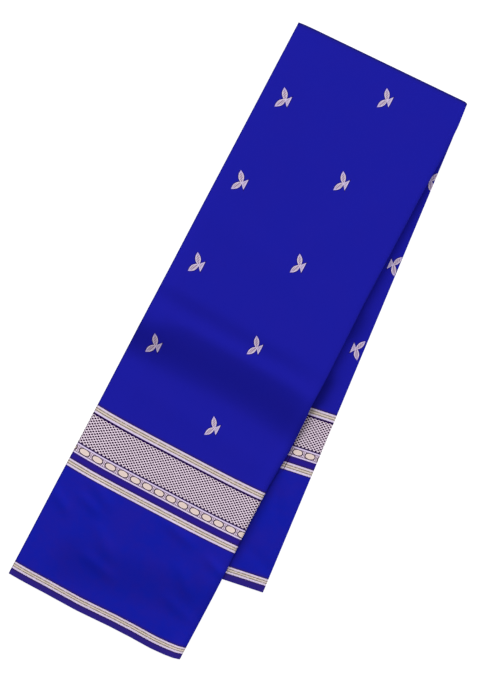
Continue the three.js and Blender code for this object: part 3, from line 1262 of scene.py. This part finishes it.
@dataclass
class BackStretch(Stretch):
    """The stretch underneath, turned a few degrees so that it shows past the right edge."""

    rows: int = 150
    crease_left: float = 3.0
    crease_right: float = -7.0
    end_tilt: float = 0.17
    motif_t: float = 285.8
    motif_s: float = 117.4
    motif_lean: float = 0.068
    motif_across: float = 294.4
    across_scale: float = 1.04
    along_scale: float = 0.992
    band_shift: float = 4.4
    band_pull: float = 2.0
    band_pull_from: tuple = (20.0, 180.0)
    field_from: float = 290.0
    field_to: float = 350.0
    field_shift: float = 15.5
    edge_pinch: float = 0.9
    edge_pinch_reach: float = 8.0
    # Painted shade on the crosswise fold, and painted shadow cast by the front stretch's edge.
    crease_painted_shade: float = 0.45
    crease_painted_shade_power: float = 1.3
    painted_shadow_spans: tuple = (
        (330.0, 294.0, 12.0, 0.0), (355.0, 294.0, 12.0, 0.20), (375.0, 294.0, 12.0, 0.20),
        (392.0, 293.0, 11.0, 0.0), (436.0, 293.0, 11.0, 0.0), (456.0, 293.0, 10.0, 0.34),
        (488.0, 293.0, 10.0, 0.34), (502.0, 289.0, 4.0, 0.42), (588.0, 289.0, 4.0, 0.42),
        (604.0, 289.0, 5.0, 0.12), (625.0, 288.0, 7.0, 0.2), (645.0, 288.0, 8.0, 0.30),
        (745.0, 288.0, 8.0, 0.30), (785.0, 288.0, 8.0, 0.0),
    )
    creases: tuple = (
        Crease(t=316, s=470, turn=80, length=180, width=9, lift=0.6),
        Crease(t=330, s=680, turn=74, length=150, width=10, lift=0.5),
        Crease(t=300, s=640, turn=60, length=90, width=8, lift=-0.5),
        Crease(t=305, s=330, turn=86, length=200, width=8, lift=0.5),
        Crease(t=320, s=740, turn=20, length=60, width=9, lift=-0.5),
    )

    def relief(self, t: Array, s: Array) -> Array:
        """Millimetres that creases and the pinched end add to the upper ply."""
        from_end = np.maximum(0.0, self.lie.back_end(t) - s)
        pinch = self.edge_pinch * np.exp(-from_end / self.edge_pinch_reach)
        return sum(crease.height(t, s) for crease in self.creases) - pinch

    def side(self, depth: float) -> tuple[Array, Array]:
        """One side of the cloth.

        Args:
            depth: Distance below the cloth's face.

        Returns:
            Points in millimetres (t, s, height), and cloth places in millimetres.
        """
        lie, fold = self.lie, self.lie.fold
        path = fold.path(depth, outer=32, under=60, inner=32)
        left_s, right_s = self.row_ends(lie.back_end_left, lie.back_end_right)
        left, right = lie.back_left_edge(left_s), lie.back_right_edge(right_s)
        flat = right - left - fold.fold_reach
        t = left + path.share * flat + path.offset
        s = left_s + (right_s - left_s) * (t - left) / (right - left)
        rise = 1.0 + self.relief(np.clip(t, left, left + flat), s) / fold.rise
        body = np.stack([t, s, (fold.rise - path.height) * rise], -1)
        axis = fold.rise + lie.crease_radius
        radius = lie.crease_radius + fold.rise - body[0, :, 2]
        return self.with_crease(
            body, self._places(t, s), width=lie.back_right, axis=axis, radius=radius, arc=radius, side=-1.0
        )

    def _places(self, t: Array, s: Array) -> Array:
        """Cloth places of the stretch, whose weave lies askew to its folds.

        Args:
            t: Places across.
            s: Places down.

        Returns:
            Places across and along the cloth, in millimetres.
        """
        lie = self.lie
        column = self.motif_t + self.motif_lean * (s - self.motif_s)
        across = self.motif_across - self.across_scale * (t - column)
        left_end = lie.back_left_edge(lie.back_end_left)
        length = (lie.back_end_left - s - self.end_tilt * (t - left_end)) * self.along_scale
        in_field = smoothstep(length, self.field_from, self.field_to)
        pull = self.band_pull * smoothstep(length, *self.band_pull_from) * (1.0 - in_field)
        along = length - pull + self.field_shift * in_field
        return np.stack([across + self.band_shift * (1.0 - in_field), np.maximum(along, 0.2)], -1)

    def painted_shade(self, face: Array) -> Array:
        """Painted shade at its crosswise fold, and painted shadow beside the front stretch's edge.

        Args:
            face: Grid of the outer side's points in millimetres.

        Returns:
            Shares of light lost, one for each point of the grid.
        """
        t, s = face[..., 0], face[..., 1]
        # Painted shadow beside the front stretch's right edge.
        places, middles, reaches, depths = np.array(self.painted_shadow_spans).T
        off = (t - np.interp(s, places, middles)) / np.interp(s, places, reaches)
        side = np.interp(s, places, depths) * np.exp(-(off ** 2))
        # Painted shade round the crosswise fold.
        turned = np.cos(self.crease_angles()) ** self.crease_painted_shade_power
        rows = np.concatenate([turned, np.zeros(self.rows)]) * self.crease_painted_shade
        return np.maximum(rows[:, None], side)

    def build(self, silk: Material) -> Piece:
        piece = self.wall("back_cloth", face_up=False)
        return finish_cloth(piece, silk, "back_stretch")


@dataclass
class PanelStack:
    """The hidden panels between the two stretches, as one solid that is layered at its edges."""

    lie: Lie
    columns: int = 26
    rows: int = 56
    steps_per_panel: int = 8
    left_inset: float = 2.7
    right_inset: float = 6.2
    corner: float = 4.0
    corner_at_end: float = 120.0
    corner_at_side: float = 70.0
    top_left: float = 3.4
    top_right: float = -6.6
    foot_left: float = 449.0
    foot_right: float = 472.0
    groove: float = 1.2
    selvedge_groove: float = 0.6
    nose_groove: float = 3.0
    crease_reach: float = 4.4
    wander: float = 0.7
    wander_turns: float = 9.0
    wander_shift: float = 2.1
    foot_reach: tuple = (0.0, -5.0, -1.5, -7.0)
    widths: tuple = ((-7.0, 281.2), (26.0, 284.6), (70.0, 287.4))

    def build(self, silk: Material) -> Piece:
        """Raise the stack layer by layer, lay it out and dress it.

        Args:
            silk: The cloth's material.

        Returns:
            The finished object.
        """
        select_only(None)
        bpy.ops.mesh.primitive_grid_add(
            x_subdivisions=self.columns, y_subdivisions=self.rows, size=1.0, location=(0.5, 0.5, 0.0)
        )
        piece = bpy.context.active_object
        piece.name = piece.data.name = "panel_stack"
        bpy.ops.object.transform_apply(location=True, rotation=True, scale=True)
        bpy.ops.object.mode_set(mode="EDIT")
        bpy.ops.mesh.select_all(action="SELECT")
        for _ in range(self.lie.panels * self.steps_per_panel):
            bpy.ops.mesh.extrude_region_move(TRANSFORM_OT_translate={"value": (0.0, 0.0, 1.0)})
        bpy.ops.mesh.select_all(action="SELECT")
        bpy.ops.mesh.normals_make_consistent(inside=False)
        bpy.ops.object.mode_set(mode="OBJECT")
        self._lay_out(piece)
        piece.data.materials.append(silk)
        smooth(piece, 60.0)
        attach(piece, "root")
        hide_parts("folded_layers")
        return piece

    def _lay_out(self, piece: Piece) -> None:
        """Move each point of the raised grid to its place in the stack.

        Args:
            piece: The raised grid.
        """
        mesh = piece.data
        count = len(mesh.vertices)
        flat = np.empty(count * 3)
        mesh.vertices.foreach_get("co", flat)
        u, v, step = flat.reshape(-1, 3).T
        level = np.round(step) / self.steps_per_panel
        t, s = self._plan(np.clip(u, 0.0, 1.0), np.clip(v, 0.0, 1.0), level)
        x0, y0 = self.lie.origin()
        z = self.lie.ground(t, s) + level * self.lie.panel_rise
        places = np.stack([x0 + t * MM, y0 - s * MM, z * MM], -1)
        mesh.vertices.foreach_set("co", places.ravel())
        mesh.update()

    def _plan(self, u: Array, v: Array, level: Array) -> tuple[Array, Array]:
        """Place of each point in plan.

        Args:
            u: Share across, 0 at the left.
            v: Share along, 0 at the foot.
            level: Height counted in panels.

        Returns:
            Places across and down, in millimetres.
        """
        panel = np.minimum(np.floor(level), self.lie.panels - 1)
        between = np.cos(math.pi * level) ** 2
        halves = np.cos(2.0 * math.pi * level) ** 2
        down = 1.0 - v
        swing = np.sin(self.wander_turns * down + self.wander_shift * panel)
        sway = np.abs(self.wander * swing * np.sin(math.pi * (level - panel)) ** 0.5)
        near_end = np.exp(-np.minimum(down, v) * self.corner_at_end) * self.corner
        near_side = np.exp(-np.minimum(u, 1.0 - u) * self.corner_at_side) * self.corner
        left = self.left_inset + self.groove * between + self.selvedge_groove * halves + sway + near_end
        right = self.right_inset + self.groove * between + sway + near_end
        pair = np.minimum(np.floor(level / 2.0), len(self.foot_reach) - 1).astype(int)
        reach = np.array(self.foot_reach)[pair] * np.sin(0.5 * math.pi * level) ** 2
        foot = self.nose_groove * np.cos(0.5 * math.pi * level) ** 2 - reach + near_side
        from_middle = np.abs(level - self.lie.panels / 2.0)
        crease = self.crease_reach * np.sqrt(np.clip(1.0 - from_middle ** 2, 0.0, 1.0))
        top_s = self.top_left + (self.top_right - self.top_left) * u - crease + near_side
        foot_s = self.foot_left + (self.foot_right - self.foot_left) * u - foot
        s = top_s + (foot_s - top_s) * down
        return left + (read_table(s, self.widths) - left - right) * u, s


@dataclass
class Studio:
    """Pale floor, soft light and the camera straight above."""

    lie: Lie
    turn: float = 27.75
    lens: float = 240.0
    sensor: float = 36.0
    clip_end: float = 50.0
    view_height: float = 1.0237
    centre_t: float = 142.2
    centre_s: float = 463.7
    plane: float = 12.0
    floor_size: float = 30.0
    floor_waves: float = 1.3
    floor_shades: tuple = (colour(122, 122, 124), colour(128, 128, 128))
    floor_roughness: float = 0.9
    floor_specular: float = 0.1
    key_height: float = 26.0
    key_swing: float = 18.0
    key_distance: float = 24.0
    key_size: float = 16.0
    key_power: float = 9450.0
    sky: float = 0.33
    sky_shade: tuple = (0.97, 0.98, 1.0, 1.0)
    glow: float = 0.95

    def build(self) -> None:
        """Set up everything that isn't the saree."""
        self._camera()
        self._floor()
        self._lights()
        view = bpy.context.scene.view_settings
        view.view_transform = "Standard"
        view.look = "None"
        view.exposure = 0.0

    def _target(self) -> tuple[float, float, float]:
        """Place under the middle of the view, in metres."""
        x0, y0 = self.lie.origin()
        return x0 + self.centre_t * MM, y0 - self.centre_s * MM, self.plane * MM

    def _camera(self) -> None:
        """Hang the camera over the saree."""
        data = bpy.data.cameras.new("camera")
        data.lens = self.lens
        data.sensor_width = self.sensor
        data.clip_end = self.clip_end
        camera = bpy.data.objects.new("camera", data)
        x, y, z = self._target()
        camera.location = (x, y, z + self.view_height * self.lens / self.sensor)
        camera.rotation_euler = (0.0, 0.0, math.radians(self.turn))
        bpy.context.collection.objects.link(camera)
        bpy.context.scene.camera = camera

    def _floor(self) -> None:
        """Lay the floor."""
        select_only(None)
        bpy.ops.mesh.primitive_plane_add(size=self.floor_size, location=(0.0, 0.0, 0.0))
        floor = bpy.context.active_object
        floor.name = "floor"
        bench = ShaderBench("floor")
        place = bench.node("ShaderNodeTexCoord", {}, {}).outputs["Object"]
        pale = bench.mix(bench.noise(place, self.floor_waves), *self.floor_shades)
        bench.dress({
            "Base Color": pale, "Emission Color": (1.0, 1.0, 1.0, 1.0), "Emission Strength": self.glow,
            "Roughness": self.floor_roughness, "Specular IOR Level": self.floor_specular,
        })
        floor.data.materials.append(bench.material)

    def _lights(self) -> None:
        """Hang a softbox past the crosswise fold, which faces the saree, and light the room."""
        x, y, z = self._target()
        turn = math.radians(self.turn - self.key_swing)
        up = (-math.sin(turn), math.cos(turn))
        angle = math.radians(self.key_height)
        reach = self.key_distance * math.cos(angle)
        place = (x + up[0] * reach, y + up[1] * reach, z + self.key_distance * math.sin(angle))
        data = bpy.data.lights.new("key", "AREA")
        data.shape = "SQUARE"
        data.size = self.key_size
        data.energy = self.key_power
        light = bpy.data.objects.new("key", data)
        light.location = place
        away = Vector(place) - Vector((x, y, z))
        light.rotation_euler = away.to_track_quat("Z", "Y").to_euler()
        bpy.context.collection.objects.link(light)
        world = bpy.data.worlds.new("room")
        world.use_nodes = True
        background = world.node_tree.nodes["Background"]
        background.inputs["Color"].default_value = self.sky_shade
        background.inputs["Strength"].default_value = self.sky
        bpy.context.scene.world = world


def main() -> None:
    """Build the studio and the saree in order."""
    logging.basicConfig(level=logging.INFO, format="%(name)s: %(message)s")
    lie = Lie()
    Studio(lie).build()
    patterned = SilkFinish(Weave.BANDS_AND_LEAVES).material()
    painted_crease_shade = SilkFinish(Weave.BANDS_AND_LEAVES, crease=PaintedCreaseShade()).material()
    plain = SilkFinish(Weave.PLAIN).material()
    pieces = [
        BackStretch(lie).build(painted_crease_shade),
        PanelStack(lie).build(plain),
        FrontStretch(lie).build(patterned),
    ]
    for piece in pieces:
        mesh = piece.data
        LOG.info("%s: %d points, %d faces", piece.name, len(mesh.vertices), len(mesh.polygons))


if __name__ == "__main__":
    main()
